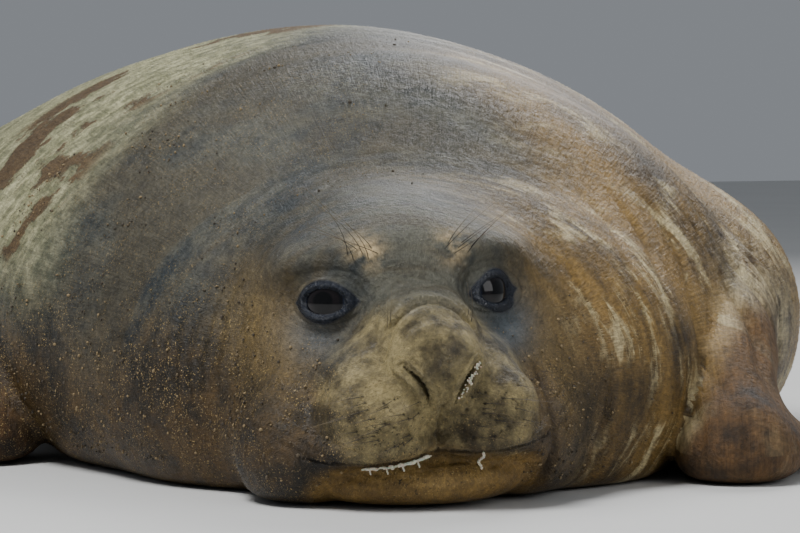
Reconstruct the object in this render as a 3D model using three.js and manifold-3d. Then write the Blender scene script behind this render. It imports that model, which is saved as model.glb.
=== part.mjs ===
// Elephant seal lying on its belly, life size.
// Shapes are worked out in metres with the head facing -Y, then turned and handed on in millimetres.
import * as THREE from 'three';
import Module from 'manifold-3d';

const wasm = await Module();
wasm.setup();

const RAD = Math.PI / 180;
const MM = 1000;
const GAP = 0.0003;

// Spine in plan: straight behind the head, then an arc to one side.
const HEADING = 6 * RAD;
const STRAIGHT = 0.5;
const BEND = 2.1;
const SPINE_X = 0.01;

// Torso sections: distance along the spine, half width, height of the back.
const SECTIONS = [
  [0.10, 0.25, 0.29],
  [0.30, 0.335, 0.37],
  [0.50, 0.39, 0.415],
  [0.75, 0.42, 0.43],
  [1.05, 0.405, 0.42],
  [1.40, 0.345, 0.375],
  [1.75, 0.26, 0.295],
  [2.05, 0.17, 0.20],
  [2.28, 0.11, 0.13],
  [2.45, 0.08, 0.095],
];

// Head: its measures are in centimetres from the point between the eyes.
const EYE_LEVEL = 0.18;
const HEAD_YAW = 14 * RAD;
const HEAD_ROLL = 3 * RAD;
const EYE_SIDE = 7.75;
const EYE_FRONT = 0.9;
const EYE_RADIUS = 2.9;
const EYE_SINK = 2.6;
const EYE_TURN = 37 * RAD;
const LID = [3.5, 3.4, 3.4];
const LID_OPEN = [2.2, 1.45, 2.4];
const MOUTH_DEPTH = 1.6;
const MOUTH_HALF_GAP = 0.16;

// Foreflippers: shoulder, wrist, direction of the hand in plan.
const FORE = {
  left: { side: 1, shoulder: [0.285, 0.42, 0.14], wrist: [0.303, 0.175, 0.045], turn: 22 * RAD },
  right: { side: -1, shoulder: [-0.33, 0.46, 0.13], wrist: [-0.42, 0.36, 0.04], turn: -30 * RAD },
};
const FORE_DIGITS = [0.25, 0.245, 0.225, 0.2, 0.17];
const FORE_SPREAD = 32 * RAD;
const HIND_DIGITS = [0.4, 0.34, 0.31, 0.33, 0.3];
const HIND_SPREAD = 40 * RAD;
const HIND_START = 2.3;

// Cuts between the parts of the body, as distances along the spine.
const HEAD_END = 0.15;
const NECK_END = 0.42;
const CHEST_END = 0.98;
const ABDOMEN_END = 1.6;

const axisX = -Math.sin(HEADING);
const axisY = Math.cos(HEADING);
const sideX = Math.cos(HEADING);
const sideY = Math.sin(HEADING);
const turnX = SPINE_X + STRAIGHT * axisX;
const turnY = STRAIGHT * axisY;
const centreX = turnX - BEND * sideX;
const centreY = turnY - BEND * sideY;

// Distance along the spine and offset to the seal's left, for a point in plan.
function along(x, y) {
  const qx = x - SPINE_X;
  const s = qx * axisX + y * axisY;
  const n = qx * sideX + y * sideY;
  if (s <= STRAIGHT) {
    return [s, n];
  }
  const rx = x - centreX;
  const ry = y - centreY;
  const angle = Math.atan2(rx * axisX + ry * axisY, rx * sideX + ry * sideY);
  return [STRAIGHT + angle * BEND, Math.hypot(rx, ry) - BEND];
}

function spine(s, n, z) {
  if (s <= STRAIGHT) {
    return [SPINE_X + s * axisX + n * sideX, s * axisY + n * sideY, z];
  }
  const a = (s - STRAIGHT) / BEND;
  const out = BEND + n;
  const x = centreX + out * (Math.cos(a) * sideX + Math.sin(a) * axisX);
  const y = centreY + out * (Math.cos(a) * sideY + Math.sin(a) * axisY);
  return [x, y, z];
}

function smin(a, b, k) {
  const h = Math.max(k - Math.abs(a - b), 0) / k;
  return Math.min(a, b) - h * h * k * 0.25;
}

function smax(a, b, k) {
  return -smin(-a, -b, k);
}

// Distance to an ellipsoid, near enough close to its surface.
function ellipsoid(p, c, r) {
  const x = p[0] - c[0];
  const y = p[1] - c[1];
  const z = p[2] - c[2];
  const a = Math.hypot(x / r[0], y / r[1], z / r[2]);
  const b = Math.hypot(x / (r[0] * r[0]), y / (r[1] * r[1]), z / (r[2] * r[2]));
  return a * (a - 1) / Math.max(b, 1e-9);
}

function turnedEllipsoid(p, c, r, axes) {
  const d = [p[0] - c[0], p[1] - c[1], p[2] - c[2]];
  const q = axes.map((v) => d[0] * v[0] + d[1] * v[1] + d[2] * v[2]);
  return ellipsoid(q, [0, 0, 0], r);
}

function roundCone(p, a, b, ra, rb) {
  const w = [b[0] - a[0], b[1] - a[1], b[2] - a[2]];
  const q = [p[0] - a[0], p[1] - a[1], p[2] - a[2]];
  const length = w[0] * w[0] + w[1] * w[1] + w[2] * w[2];
  const dot = (q[0] * w[0] + q[1] * w[1] + q[2] * w[2]) / length;
  const h = Math.min(1, Math.max(0, dot));
  return Math.hypot(q[0] - h * w[0], q[1] - h * w[1], q[2] - h * w[2]) - (ra + (rb - ra) * h);
}

// Smooth curve through the torso sections.
function section(s, column) {
  const last = SECTIONS.length - 1;
  let i = 0;
  while (i < last - 1 && s > SECTIONS[i + 1][0]) {
    i += 1;
  }
  const slope = (k) => {
    const a = SECTIONS[Math.max(k - 1, 0)];
    const b = SECTIONS[Math.min(k + 1, last)];
    return (b[column] - a[column]) / (b[0] - a[0]);
  };
  const h = SECTIONS[i + 1][0] - SECTIONS[i][0];
  const t = Math.min(1, Math.max(0, (s - SECTIONS[i][0]) / h));
  const t2 = t * t;
  const t3 = t2 * t;
  return (2 * t3 - 3 * t2 + 1) * SECTIONS[i][column]
    + (t3 - 2 * t2 + t) * h * slope(i)
    + (3 * t2 - 2 * t3) * SECTIONS[i + 1][column]
    + (t3 - t2) * h * slope(i + 1);
}

function softPower(value, power) {
  const soft = 0.05;
  const zero = Math.pow(soft, power / 2);
  return (Math.pow(value * value + soft, power / 2) - zero) / (Math.pow(1 + soft, power / 2) - zero);
}

// Fat body: sloping sides above, fuller and flatter below.
function torso(p) {
  const [s, n] = along(p[0], p[1]);
  const half = section(s, 1);
  const top = section(s, 2);
  const middle = 0.36 * top;
  const z = p[2] - middle;
  const x = n / half;
  let f = 0;
  if (z > 0) {
    f = Math.pow(softPower(x, 1.6) + softPower(z / (top - middle), 1.6), 1 / 1.6);
  } else {
    f = Math.pow(softPower(x, 2.5) + softPower(z / (middle * 1.32), 2.5), 1 / 2.5);
  }
  const reach = Math.hypot(n, z) / Math.max(f, 1e-6);
  let d = (f - 1) * Math.min(reach, 0.45) * 0.9;
  d = smax(d, s - 2.4, 0.1);
  d = smax(d, 0.16 - s, 0.22);
  return d;
}

// Axes of the head: the seal's left, forward, up.
const headLeft = new THREE.Vector3(1, 0, 0);
const headUp = new THREE.Vector3(0, 0, 1);
headUp.applyAxisAngle(new THREE.Vector3(0, 1, 0), -HEAD_ROLL);
headLeft.applyAxisAngle(new THREE.Vector3(0, 1, 0), -HEAD_ROLL);
headUp.applyAxisAngle(new THREE.Vector3(0, 0, 1), HEAD_YAW);
headLeft.applyAxisAngle(new THREE.Vector3(0, 0, 1), HEAD_YAW);
const headForward = headLeft.clone().cross(headUp);

function toHead(p) {
  const d = [p[0] * 100, p[1] * 100, (p[2] - EYE_LEVEL) * 100];
  return [
    d[0] * headLeft.x + d[1] * headLeft.y + d[2] * headLeft.z,
    d[0] * headForward.x + d[1] * headForward.y + d[2] * headForward.z,
    d[0] * headUp.x + d[1] * headUp.y + d[2] * headUp.z,
  ];
}

function fromHead(q) {
  const v = new THREE.Vector3(0, 0, 0);
  v.addScaledVector(headLeft, q[0] / 100);
  v.addScaledVector(headForward, q[1] / 100);
  v.addScaledVector(headUp, q[2] / 100);
  return [v.x, v.y, v.z + EYE_LEVEL];
}

const eyes = [1, -1].map((side) => {
  const out = new THREE.Vector3(side * Math.sin(EYE_TURN), Math.cos(EYE_TURN), 0.08).normalize();
  const across = out.clone().cross(new THREE.Vector3(0, 0, 1)).normalize();
  const over = across.clone().cross(out);
  const centre = [side * EYE_SIDE - out.x * EYE_SINK, EYE_FRONT - out.y * EYE_SINK, -out.z * EYE_SINK];
  const axes = [across.toArray(), over.toArray(), out.toArray()];
  const at = (d) => [centre[0] + out.x * d, centre[1] + out.y * d, centre[2] + out.z * d];
  return { side, centre, axes, at };
});

function skull(q) {
  let d = ellipsoid(q, [0, -9, -1], [12, 13, 10]);
  d = smin(d, ellipsoid(q, [0, -4.5, -8], [12.8, 9.5, 9]), 4);
  d = smin(d, ellipsoid(q, [0, 3.2, -7.4], [8.8, 6.6, 5.8]), 2.5);
  d = smin(d, ellipsoid(q, [0, 2.6, -2], [4.9, 6.4, 3.2]), 2);
  for (const side of [-1, 1]) {
    d = smin(d, ellipsoid(q, [side * 4.7, 6, -9.5], [4.9, 4.3, 4.1]), 0.9);
    d = smin(d, ellipsoid(q, [side * 4.5, 5, -12.1], [5.8, 4.6, 2.3]), 0.8);
    d = smin(d, ellipsoid(q, [side * 9.6, -2.8, -12.6], [6, 8, 6.3]), 3);
    d = smin(d, ellipsoid(q, [side * 6.2, -3.6, 3], [5, 4.4, 1.9]), 3.5);
  }
  d = smin(d, ellipsoid(q, [0, 7.7, -5.4], [4.4, 4.3, 4.5]), 0.9);
  d = smin(d, ellipsoid(q, [0, 1.6, -15.6], [9.4, 7, 3.2]), 0.8);
  return d;
}

function face(q) {
  let d = skull(q);
  for (const eye of eyes) {
    d = smax(d, -turnedEllipsoid(q, eye.at(4), [4.2, 3, 2.4], eye.axes), 2.4);
    d = smin(d, turnedEllipsoid(q, eye.centre, [3.25, 3.15, 3.15], eye.axes), 0.6);
  }
  return d;
}

// Digits from one wrist, webbed together.
function fan(p, base, heading, lengths, spread, radii, flat, web) {
  const q = [p[0], p[1], base[2] + (p[2] - base[2]) / flat];
  let d = 1;
  lengths.forEach((length, i) => {
    const tip = digitTip(base, heading, lengths, spread, i, 1);
    const one = roundCone(q, base, tip, radii[0], radii[1]);
    d = i ? smin(d, one, web) : one;
  });
  return d;
}

function digitTip(base, heading, lengths, spread, i, part) {
  const angle = heading + spread * (i / (lengths.length - 1) - 0.5);
  const reach = lengths[i] * part;
  return [base[0] + reach * Math.sin(angle), base[1] + reach * Math.cos(angle), base[2]];
}

function foreDigits(limb) {
  return limb.side > 0 ? FORE_DIGITS : [...FORE_DIGITS].reverse();
}

function handBase(limb) {
  return [limb.wrist[0], limb.wrist[1], 0.024];
}

function foreflipper(p, limb) {
  const arm = roundCone(p, limb.shoulder, limb.wrist, 0.08, 0.037);
  const digits = foreDigits(limb);
  const hand = fan(p, handBase(limb), limb.turn, digits, FORE_SPREAD, [0.03, 0.014], 0.6, 0.03);
  return smax(smin(arm, hand, 0.075), -p[2], 0.008);
}

function hindflipper(p, side) {
  const base = spine(HIND_START, side * 0.045, 0.045);
  const heading = -(HEADING + (HIND_START - STRAIGHT) / BEND) + side * 13 * RAD;
  const digits = side > 0 ? [...HIND_DIGITS].reverse() : HIND_DIGITS;
  const foot = fan(p, base, heading, digits, HIND_SPREAD, [0.05, 0.017], 0.62, 0.035);
  const [, n] = along(p[0], p[1]);
  return smax(smax(foot, -p[2], 0.006), GAP / 2 - side * n, 0.004);
}

function tail(p) {
  return roundCone(p, spine(2.34, 0, 0.07), spine(2.52, 0, 0.075), 0.036, 0.016);
}

function body(p) {
  let d = torso(p);
  d = smin(d, ellipsoid(p, [-0.01, 0.25, 0.1], [0.285, 0.24, 0.2]), 0.05);
  d = smin(d, ellipsoid(p, [-0.02, 0.4, 0.12], [0.34, 0.24, 0.25]), 0.05);
  d = smin(d, ellipsoid(p, [0.3, 0.64, 0.12], [0.1, 0.22, 0.12]), 0.08);
  if (Math.hypot(p[0], p[1], p[2] - EYE_LEVEL) < 0.45) {
    d = smin(d, face(toHead(p)) / 100, 0.042);
  }
  return smax(d, -p[2], 0.012);
}

function steps(from, to, size) {
  const count = Math.max(2, Math.ceil((to - from) / size));
  return Array.from({ length: count + 1 }, (unused, i) => from + (to - from) * i / count);
}

// Even grid with a finer middle stretch.
function graded(from, fineFrom, fineTo, to, coarse, fine) {
  const before = steps(from, fineFrom, coarse);
  const middle = steps(fineFrom, fineTo, fine);
  const after = steps(fineTo, to, coarse);
  return [...before.slice(0, -1), ...middle, ...after.slice(1)];
}

// Pulls a point onto the surface where the field is zero.
function settle(p, field) {
  const e = 0.0004;
  for (let round = 0; round < 4; round += 1) {
    const d = field(p);
    const g = [0, 1, 2].map((k) => {
      const a = [...p];
      const b = [...p];
      a[k] += e;
      b[k] -= e;
      return (field(a) - field(b)) / (2 * e);
    });
    const size = Math.max(0.05, g[0] * g[0] + g[1] * g[1] + g[2] * g[2]);
    const step = Math.min(0.01, Math.max(-0.01, d)) / size;
    for (let k = 0; k < 3; k += 1) {
      p[k] -= step * g[k];
    }
  }
  return p;
}

// Closed surface of a field: one point in each crossed cell, one quad across each crossed edge.
function skinOf(field, xs, ys, zs) {
  const grid = [xs, ys, zs];
  const size = grid.map((g) => g.length);
  const at = (i, j, k) => (i * size[1] + j) * size[2] + k;
  const value = new Float64Array(size[0] * size[1] * size[2]);
  for (let i = 0; i < size[0]; i += 1) {
    for (let j = 0; j < size[1]; j += 1) {
      for (let k = 0; k < size[2]; k += 1) {
        value[at(i, j, k)] = field([xs[i], ys[j], zs[k]]) || 1e-12;
      }
    }
  }
  const index = new Map();
  const points = [];
  const cellPoint = (cell) => {
    const key = at(cell[0], cell[1], cell[2]);
    if (index.has(key)) {
      return index.get(key);
    }
    const sum = [0, 0, 0];
    let count = 0;
    for (let axis = 0; axis < 3; axis += 1) {
      for (let corner = 0; corner < 4; corner += 1) {
        const a = [...cell];
        a[(axis + 1) % 3] += corner & 1;
        a[(axis + 2) % 3] += corner >> 1;
        const b = [...a];
        b[axis] += 1;
        const va = value[at(...a)];
        const vb = value[at(...b)];
        if ((va < 0) !== (vb < 0)) {
          const t = va / (va - vb);
          for (let m = 0; m < 3; m += 1) {
            sum[m] += grid[m][a[m]] + (m === axis ? t * (grid[m][b[m]] - grid[m][a[m]]) : 0);
          }
          count += 1;
        }
      }
    }
    const p = settle(sum.map((v) => v / count), field);
    index.set(key, points.length);
    points.push(p);
    return points.length - 1;
  };
  const triangles = [];
  for (let axis = 0; axis < 3; axis += 1) {
    const u = (axis + 1) % 3;
    const v = (axis + 2) % 3;
    const node = [0, 0, 0];
    for (node[axis] = 0; node[axis] < size[axis] - 1; node[axis] += 1) {
      for (node[u] = 1; node[u] < size[u] - 1; node[u] += 1) {
        for (node[v] = 1; node[v] < size[v] - 1; node[v] += 1) {
          const next = [...node];
          next[axis] += 1;
          const inside = value[at(...node)] < 0;
          if (inside !== (value[at(...next)] < 0)) {
            const ring = [[1, 1], [0, 1], [0, 0], [1, 0]].map(([du, dv]) => {
              const cell = [...node];
              cell[u] -= du;
              cell[v] -= dv;
              return cellPoint(cell);
            });
            if (!inside) {
              ring.reverse();
            }
            triangles.push([ring[0], ring[1], ring[2]], [ring[0], ring[2], ring[3]]);
          }
        }
      }
    }
  }
  return { points, triangles };
}

function solid(shape) {
  const numbers = new Float32Array(shape.points.flat());
  const corners = new Uint32Array(shape.triangles.flat());
  const mesh = new wasm.Mesh({ numProp: 3, vertProperties: numbers, triVerts: corners });
  mesh.merge();
  return new wasm.Manifold(mesh);
}

// Same closed surface, every point moved outward along its normal.
function grown(shape, distance) {
  const geometry = new THREE.BufferGeometry();
  geometry.setAttribute('position', new THREE.Float32BufferAttribute(shape.points.flat(), 3));
  geometry.setIndex(shape.triangles.flat());
  geometry.computeVertexNormals();
  const normal = geometry.getAttribute('normal');
  const points = shape.points.map((p, i) => [
    p[0] + normal.getX(i) * distance,
    p[1] + normal.getY(i) * distance,
    p[2] + normal.getZ(i) * distance,
  ]);
  return { points, triangles: shape.triangles };
}

// Closed surface through rings of points, closed at both ends by its first and last ring.
function lofted(rings) {
  const points = rings.flat();
  const sides = rings[0].length;
  const triangles = [];
  for (let i = 0; i < rings.length - 1; i += 1) {
    for (let j = 0; j < sides; j += 1) {
      const a = i * sides + j;
      const b = i * sides + (j + 1) % sides;
      triangles.push([a, b, b + sides], [a, b + sides, a + sides]);
    }
  }
  const last = (rings.length - 1) * sides;
  for (let j = 1; j < sides - 1; j += 1) {
    triangles.push([0, j + 1, j], [last, last + j, last + j + 1]);
  }
  return outward({ points, triangles });
}

// Turns the triangles round when they face inward.
function outward(shape) {
  let volume = 0;
  for (const [a, b, c] of shape.triangles) {
    const p = new THREE.Vector3(...shape.points[a]);
    const q = new THREE.Vector3(...shape.points[b]);
    const r = new THREE.Vector3(...shape.points[c]);
    volume += p.dot(q.cross(r));
  }
  if (volume < 0) {
    shape.triangles.forEach((t) => t.reverse());
  }
  return shape;
}

// Ball or egg at a place, with its own axes.
function egg(centre, radii, axes, across, rounds) {
  const rings = [];
  for (let i = 1; i < rounds; i += 1) {
    const a = Math.PI * i / rounds;
    const ring = [];
    for (let j = 0; j < across; j += 1) {
      const b = 2 * Math.PI * j / across;
      const local = [
        radii[0] * Math.sin(a) * Math.cos(b),
        radii[1] * Math.sin(a) * Math.sin(b),
        radii[2] * Math.cos(a),
      ];
      ring.push([0, 1, 2].map((k) => centre[k] + local.reduce((t, v, m) => t + v * axes[m][k], 0)));
    }
    rings.push(ring);
  }
  return lofted(rings);
}

// Everything of the body between two distances along the spine.
function slice(from, to) {
  const rings = [from, to].map((s) => [
    spine(s, -1, -0.1),
    spine(s, 1, -0.1),
    spine(s, 1, 0.7),
    spine(s, -1, 0.7),
  ]);
  return solid(lofted(rings));
}

function largest(whole) {
  const parts = whole.decompose();
  return parts.reduce((a, b) => (b.volume() > a.volume() ? b : a));
}

function inHead(shape) {
  return outward({ points: shape.points.map(fromHead), triangles: shape.triangles });
}

// Point where a line from outside the head first meets its surface, in head measures.
function onFace(origin, direction) {
  let t = 22;
  for (let i = 0; i < 80; i += 1) {
    const p = origin.map((v, k) => v + direction[k] * t);
    const d = face(p);
    if (d < 0.002) {
      break;
    }
    t -= Math.max(d * 0.7, 0.002);
  }
  return origin.map((v, k) => v + direction[k] * t);
}

function mouthHeight(turn) {
  const side = Math.abs(turn) / (62 * RAD);
  return -13.5 + 0.9 * Math.pow(side, 3) + 0.65 * Math.exp(-Math.pow(turn / 0.3, 2)) + 0.5 * turn;
}

function mouthCut() {
  const rings = [];
  for (let i = 0; i <= 28; i += 1) {
    const turn = (i / 14 - 1) * 66 * RAD;
    const w = mouthHeight(turn);
    const way = [Math.sin(turn), Math.cos(turn), 0];
    const lip = onFace([0, 0, w], way);
    const fade = Math.max(0.05, Math.sqrt(1 - Math.pow(i / 14 - 1, 2)));
    const open = MOUTH_HALF_GAP * fade;
    const deep = MOUTH_DEPTH * fade;
    const at = (out, up) => [lip[0] + way[0] * out, lip[1] + way[1] * out, lip[2] + up];
    rings.push([at(1, open * 2.2), at(1, -open * 2.2), at(-deep, -0.02), at(-deep, 0.02)]);
  }
  return solid(inHead(lofted(rings)));
}

// Slanted slit of one nostril.
function nostrilCut(side) {
  const rings = [];
  for (let i = 0; i <= 12; i += 1) {
    const t = i / 12;
    const u = side * (2.9 - 1.9 * t - 0.35 * Math.sin(Math.PI * t));
    const w = -5.0 - 2.9 * t;
    const way = new THREE.Vector3(side * 0.3, 0.95, 0.05).normalize().toArray();
    const rim = onFace([u - way[0] * 8, 8 - way[1] * 8, w], way);
    const fade = Math.max(0.08, Math.sin(Math.PI * Math.min(1, t * 1.04)));
    const half = 0.3 * fade;
    const deep = 1.6 * fade;
    const slant = new THREE.Vector3(side * 0.84, 0, 0.54).toArray();
    const at = (out, over) => rim.map((v, k) => v + way[k] * out + slant[k] * over);
    rings.push([at(0.8, half * 1.3), at(0.8, -half * 1.3), at(-deep, -half * 0.5), at(-deep, half * 0.5)]);
  }
  return solid(inHead(lofted(rings)));
}

const group = new THREE.Group();
const COLOURS = {
  coat: { color: 0x84786a, roughness: 0.55 },
  coatDark: { color: 0x6a6258, roughness: 0.55 },
  face: { color: 0x8a7c60, roughness: 0.6 },
  flipper: { color: 0x6b4a34, roughness: 0.6 },
  claw: { color: 0x2b2521, roughness: 0.4 },
  eye: { color: 0x101820, roughness: 0.05 },
};
const made = [];

function keep(name, whole, colours) {
  const closed = largest(whole).simplify(GAP / 6);
  const mesh = closed.getMesh();
  const count = mesh.vertProperties.length / mesh.numProp;
  const positions = new Float32Array(count * 3);
  for (let i = 0; i < count; i += 1) {
    for (let k = 0; k < 3; k += 1) {
      positions[i * 3 + k] = mesh.vertProperties[i * mesh.numProp + k] * MM;
    }
  }
  const geometry = new THREE.BufferGeometry();
  geometry.setAttribute('position', new THREE.BufferAttribute(positions, 3));
  geometry.setIndex(new THREE.BufferAttribute(new Uint32Array(mesh.triVerts), 1));
  geometry.rotateZ(-30 * RAD);
  made.push(geometry);
  const material = new THREE.MeshStandardMaterial({ ...colours, metalness: 0 });
  const node = new THREE.Mesh(geometry, material);
  node.name = name;
  group.add(node);
}

// Head with its eyes, mouth and nostrils.
function headField(p) {
  const [s] = along(p[0], p[1]);
  return Math.max(body(p), s - HEAD_END - 0.045);
}

const headShape = skinOf(
  headField,
  graded(-0.37, -0.15, 0.18, 0.37, 0.034, 0.011),
  graded(-0.19, -0.15, 0.05, 0.24, 0.034, 0.011),
  graded(-0.026, 0.004, 0.25, 0.37, 0.034, 0.011),
);
let head = solid(headShape).intersect(slice(-0.6, HEAD_END - GAP / 2));
for (const eye of eyes) {
  const lid = egg(eye.centre, LID, eye.axes, 20, 14);
  head = head.add(solid(inHead(lid)));
  const socket = EYE_RADIUS + GAP * 100;
  head = head.subtract(solid(inHead(egg(eye.centre, [socket, socket, socket], eye.axes, 16, 10))));
  head = head.subtract(solid(inHead(egg(eye.at(3), LID_OPEN, eye.axes, 20, 10))));
}
head = head.subtract(mouthCut());
head = head.subtract(nostrilCut(1)).subtract(nostrilCut(-1));
keep('head', head, COLOURS.face);
for (const eye of eyes) {
  const ball = [EYE_RADIUS, EYE_RADIUS, EYE_RADIUS];
  const name = eye.side > 0 ? 'eye_left' : 'eye_right';
  keep(name, solid(inHead(egg(eye.centre, ball, eye.axes, 16, 10))), COLOURS.eye);
}

// One length of the trunk, on a grid of its own.
function trunkShape(from, to, cell) {
  const field = (p) => {
    const [s] = along(p[0], p[1]);
    return Math.max(body(p), from - 1.4 * cell - s, s - to - 1.4 * cell);
  };
  const corners = [];
  for (const s of [from - 3 * cell, (from + to) / 2, to + 3 * cell]) {
    corners.push(spine(s, -0.47, 0), spine(s, 0.47, 0));
  }
  const xs = corners.map((c) => c[0]);
  const ys = corners.map((c) => c[1]);
  return skinOf(
    field,
    steps(Math.min(...xs), Math.max(...xs), cell),
    steps(Math.min(...ys), Math.max(...ys), cell),
    steps(-0.6 * cell, 0.5, cell),
  );
}

const trunk = [
  { name: 'neck', from: HEAD_END, to: NECK_END, cell: 0.045, colours: COLOURS.coatDark },
  { name: 'chest', from: NECK_END, to: CHEST_END, cell: 0.06, colours: COLOURS.coat },
  { name: 'abdomen', from: CHEST_END, to: ABDOMEN_END, cell: 0.066, colours: COLOURS.coat },
  { name: 'hindquarters', from: ABDOMEN_END, to: 3, cell: 0.05, colours: COLOURS.coat },
];
for (const part of trunk) {
  part.shape = trunkShape(part.from, Math.min(part.to, 2.6), part.cell);
  const whole = solid(part.shape).intersect(slice(part.from + GAP / 2, part.to - GAP / 2));
  keep(part.name, whole, part.colours);
}

// Takes away the neighbouring shapes, and a thin gap round them.
function cleared(whole, shapes, gap) {
  let rest = whole;
  for (const shape of shapes) {
    rest = rest.subtract(solid(shape)).subtract(solid(grown(shape, gap)));
  }
  return rest;
}

// Foreflippers with five claws each.
const trunkShapes = trunk.map((part) => part.shape);
for (const [name, limb] of Object.entries(FORE)) {
  const [x, y] = limb.wrist;
  const shape = skinOf(
    (p) => foreflipper(p, limb),
    steps(x - 0.205, x + 0.235, 0.0185),
    steps(y - 0.08, y + 0.38, 0.018),
    steps(-0.01, 0.26, 0.016),
  );
  keep(`foreflipper_${name}`, cleared(solid(shape), [headShape, ...trunkShapes], GAP), COLOURS.flipper);
  const digits = foreDigits(limb);
  for (let i = 0; i < digits.length; i += 1) {
    const from = digitTip(handBase(limb), limb.turn, digits, FORE_SPREAD, i, 0.96);
    const to = digitTip(handBase(limb), limb.turn, digits, FORE_SPREAD, i, 1.1);
    const way = new THREE.Vector3(to[0] - from[0], to[1] - from[1], -0.004).normalize();
    const across = way.clone().cross(new THREE.Vector3(0, 0, 1)).normalize();
    const over = across.clone().cross(way);
    const axes = [across.toArray(), over.toArray(), way.toArray()];
    const claw = egg([to[0], to[1], 0.0265], [0.0052, 0.0042, 0.017], axes, 6, 5);
    keep(`claw_${name}_${i + 1}`, cleared(solid(claw), [shape], GAP), COLOURS.claw);
  }
}

// Tail and hind flippers.
const [tailX, tailY] = spine(2.42, 0, 0);
const tailShape = skinOf(
  tail,
  steps(tailX - 0.16, tailX + 0.16, 0.02),
  steps(tailY - 0.16, tailY + 0.16, 0.02),
  steps(0.02, 0.13, 0.018),
);
keep('tail', cleared(solid(tailShape), trunkShapes, GAP), COLOURS.coatDark);
for (const side of [1, -1]) {
  const [x, y] = spine(HIND_START + 0.15, side * 0.1, 0);
  const shape = skinOf(
    (p) => hindflipper(p, side),
    steps(x - 0.4, x + 0.3, 0.021),
    steps(y - 0.3, y + 0.42, 0.021),
    steps(-0.01, 0.13, 0.018),
  );
  const name = side > 0 ? 'hindflipper_left' : 'hindflipper_right';
  keep(name, cleared(solid(shape), [tailShape, ...trunkShapes], GAP), COLOURS.flipper);
}

// Origin: centre of the footprint, on the ground.
const bounds = new THREE.Box3();
for (const geometry of made) {
  geometry.computeBoundingBox();
  bounds.union(geometry.boundingBox);
}
const middle = bounds.getCenter(new THREE.Vector3());
for (const geometry of made) {
  geometry.translate(-middle.x, -middle.y, -bounds.min.z);
  geometry.computeVertexNormals();
}

export default group;
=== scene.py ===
import math
import bmesh
import bpy
import numpy as np
from mathutils import Matrix, Vector


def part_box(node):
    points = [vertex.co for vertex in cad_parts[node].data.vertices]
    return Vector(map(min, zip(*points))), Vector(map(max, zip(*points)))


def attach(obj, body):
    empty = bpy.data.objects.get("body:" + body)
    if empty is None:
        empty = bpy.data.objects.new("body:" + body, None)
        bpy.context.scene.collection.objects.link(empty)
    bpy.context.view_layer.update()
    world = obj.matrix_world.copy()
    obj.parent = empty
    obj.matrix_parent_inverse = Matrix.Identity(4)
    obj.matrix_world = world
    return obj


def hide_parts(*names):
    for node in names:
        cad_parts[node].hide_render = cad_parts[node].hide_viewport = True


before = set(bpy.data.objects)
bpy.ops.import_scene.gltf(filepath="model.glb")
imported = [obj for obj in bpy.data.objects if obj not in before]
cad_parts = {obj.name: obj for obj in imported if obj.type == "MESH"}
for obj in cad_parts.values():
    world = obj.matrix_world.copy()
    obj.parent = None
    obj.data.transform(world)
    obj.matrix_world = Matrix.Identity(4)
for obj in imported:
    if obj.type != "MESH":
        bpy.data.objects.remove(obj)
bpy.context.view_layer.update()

# Seal's skin: one closed surface over head, trunk, flippers and tail. The real
# one is hide with very short fur over blubber. The form is a field, negative
# inside, worked out in metres in the seal's own plan frame, head facing -Y.
HEADING, STRAIGHT, BEND, SPINE_X = math.radians(6), 0.5, 2.1, 0.01
EYE_LEVEL, HEAD_YAW, HEAD_ROLL = 0.18, math.radians(14), math.radians(3)
COAT_DEPTH = 0.0015
axis = np.array([-math.sin(HEADING), math.cos(HEADING)])
side = np.array([math.cos(HEADING), math.sin(HEADING)])
turn_point = np.array([SPINE_X, 0]) + STRAIGHT * axis
bend_centre = turn_point - BEND * side
# distance along the spine, half width, height of the back
SECTIONS = np.array([
    (0.10, 0.25, 0.29), (0.30, 0.335, 0.37), (0.50, 0.39, 0.415), (0.75, 0.42, 0.43),
    (1.05, 0.405, 0.42), (1.40, 0.345, 0.375), (1.75, 0.26, 0.295), (2.05, 0.17, 0.20),
    (2.28, 0.11, 0.13), (2.45, 0.08, 0.095)])
# eyes, in centimetres from the point between them: sideways, forward, up
EYE_AT, EYE_RADIUS, EYE_SINK, EYE_TURN = (7.75, 0.9, 0.0), 2.9, 2.6, math.radians(37)
LIDS_WIDE, LIDS_UP, LIDS_DOWN = 2.2, 1.4, 1.25
MOUTH_TURN = math.radians(66)


def smooth_min(a, b, k):
    h = np.maximum(k - np.abs(a - b), 0) / k
    return np.minimum(a, b) - h * h * k * 0.25


def smooth_max(a, b, k):
    return -smooth_min(-a, -b, k)


def unit(v):
    """The same direction at length 1, for one arrow or for rows of them."""
    v = np.asarray(v, float)
    return v / np.maximum(np.linalg.norm(v, axis=-1, keepdims=True), 1e-6)


def hump(*ways):
    """A smooth hump: 1 where every measure given is 0, near 0 where one passes 2."""
    return np.exp(-sum(np.square(v) for v in ways))


def ellipsoid(p, centre, radii, turned=None):
    q = p - np.asarray(centre)
    if turned is not None:
        q = q @ turned.T
    radii = np.asarray(radii, float)
    a = np.linalg.norm(q / radii, axis=-1)
    b = np.linalg.norm(q / radii ** 2, axis=-1)
    return a * (a - 1) / np.maximum(b, 1e-9)


def round_cone(p, a, b, ra, rb):
    a, w = np.asarray(a, float), np.asarray(b, float) - np.asarray(a, float)
    h = np.clip((p - a) @ w / (w @ w), 0, 1)
    return np.linalg.norm(p - a - h[..., None] * w, axis=-1) - (ra + (rb - ra) * h)


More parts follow.
